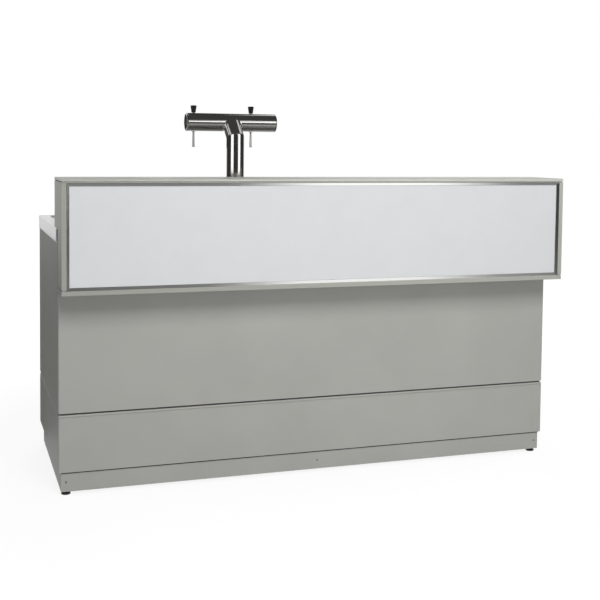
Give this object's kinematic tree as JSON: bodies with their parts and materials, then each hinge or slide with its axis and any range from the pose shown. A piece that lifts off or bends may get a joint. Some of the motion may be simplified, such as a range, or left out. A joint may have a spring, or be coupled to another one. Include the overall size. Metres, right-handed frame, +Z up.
{
  "type": "bar counter",
  "caption": "Free-standing beer bar counter: grey panelled body with open rear shelf bays, steel worktop, raised bar top over a framed light box, and a tap tower with drip tray.",
  "frame": {"origin": "on the floor, in the middle of the counter's plan", "axes": "+X along the counter to the guests' right, +Y from the guests to the bartender, +Z up"},
  "size_m": [2.006, 0.906, 1.4505],
  "materials": {
    "casing_paint": "satin grey paint on folded sheet",
    "plinth_paint": "satin grey paint on sheet",
    "fascia_metal": "fine satin",
    "bezel_chrome": "polished",
    "opal_panel": "opal white sheet, bare",
    "white_paint": "matt white",
    "white_plastic": "diffuser white",
    "tower_chrome": "mirror polished",
    "black_plastic": "gloss black",
    "foot_plastic": "matt black",
    "seal_rubber": "matt black",
    "core_board": "plain board",
    "worktop_steel": "brushed",
    "cabinet_steel": "brushed"
  },
  "bodies": {
    "counter": {"arm_cap_left": "tower_chrome", "arm_cap_right": "tower_chrome", "bar_top": "fascia_metal", "bezel_bottom": "bezel_chrome", "bezel_left": "bezel_chrome", "bezel_right": "bezel_chrome", "bezel_top": "bezel_chrome", "bottom_rail": "fascia_metal", "cabinet_floor": "cabinet_steel", "cheek_left": "fascia_metal", "cheek_right": "fascia_metal", "divider_panel": "cabinet_steel", "frame_post_left": "fascia_metal", "frame_post_right": "fascia_metal", "front_panel_lower": "casing_paint", "front_panel_upper": "casing_paint", "groove_seal": "seal_rubber", "light_batten_lower": "white_plastic", "light_batten_upper": "white_plastic", "plinth_back": "plinth_paint", "plinth_front": "plinth_paint", "plinth_left": "plinth_paint", "plinth_right": "plinth_paint", "rear_post_left": "cabinet_steel", "rear_post_right": "cabinet_steel", "reflector_plate": "white_paint", "shelf_left": "cabinet_steel", "shelf_rail_left_left": "cabinet_steel", "shelf_rail_left_right": "cabinet_steel", "shelf_rail_right_lower_left": "cabinet_steel", "shelf_rail_right_lower_right": "cabinet_steel", "shelf_rail_right_upper_left": "cabinet_steel", "shelf_rail_right_upper_right": "cabinet_steel", "shelf_right_lower": "cabinet_steel", "shelf_right_upper": "cabinet_steel", "side_panel_left_lower": "casing_paint", "side_panel_left_upper": "casing_paint", "side_panel_right_lower": "casing_paint", "side_panel_right_upper": "casing_paint", "sign_panel": "opal_panel", "tap_body_left": "tower_chrome", "tap_body_right": "tower_chrome", "tap_spout_left": "tower_chrome", "tap_spout_right": "tower_chrome", "top_rail": "fascia_metal", "tower_base": "tower_chrome", "tower_column": "tower_chrome", "tower_head": "tower_chrome", "tower_lock_nut": "cabinet_steel", "upstand_panel": "cabinet_steel", "worktop": "worktop_steel", "worktop_board": "core_board"},
    "tap_lever_left": {"tap_lever_left": "black_plastic"},
    "tap_lever_right": {"tap_lever_right": "black_plastic"},
    "drip_tray": {"drip_tray": "worktop_steel"},
    "drip_grid": {"drip_grid": "worktop_steel"},
    "levelling_foot_front_left": {"levelling_foot_front_left": "foot_plastic"},
    "levelling_foot_front_right": {"levelling_foot_front_right": "foot_plastic"},
    "levelling_foot_back_left": {"levelling_foot_back_left": "foot_plastic"},
    "levelling_foot_back_right": {"levelling_foot_back_right": "foot_plastic"}
  },
  "joints": [
    {"name": "left_lever_tilt", "type": "hinge", "parent": "counter", "child": "tap_lever_left", "pos_m": [-0.389, 0.188, 1.404], "axis": [-1, 0, 0], "range_deg": [-15, 35]},
    {"name": "right_lever_tilt", "type": "hinge", "parent": "counter", "child": "tap_lever_right", "pos_m": [-0.139, 0.188, 1.404], "axis": [-1, 0, 0], "range_deg": [-15, 35]},
    {"name": "drip_tray_lift", "type": "slide", "parent": "counter", "child": "drip_tray", "axis": [0, 0, 1], "range_m": [0, 0.12]},
    {"name": "drip_grid_lift", "type": "slide", "parent": "drip_tray", "child": "drip_grid", "axis": [0, 0, 1], "range_m": [0, 0.1]},
    {"name": "front_left_foot_screw", "type": "slide", "parent": "counter", "child": "levelling_foot_front_left", "axis": [0, 0, -1], "range_m": [0, 0.02]},
    {"name": "front_right_foot_screw", "type": "slide", "parent": "counter", "child": "levelling_foot_front_right", "axis": [0, 0, -1], "range_m": [0, 0.02]},
    {"name": "back_left_foot_screw", "type": "slide", "parent": "counter", "child": "levelling_foot_back_left", "axis": [0, 0, -1], "range_m": [0, 0.02]},
    {"name": "back_right_foot_screw", "type": "slide", "parent": "counter", "child": "levelling_foot_back_right", "axis": [0, 0, -1], "range_m": [0, 0.02]}
  ]
}
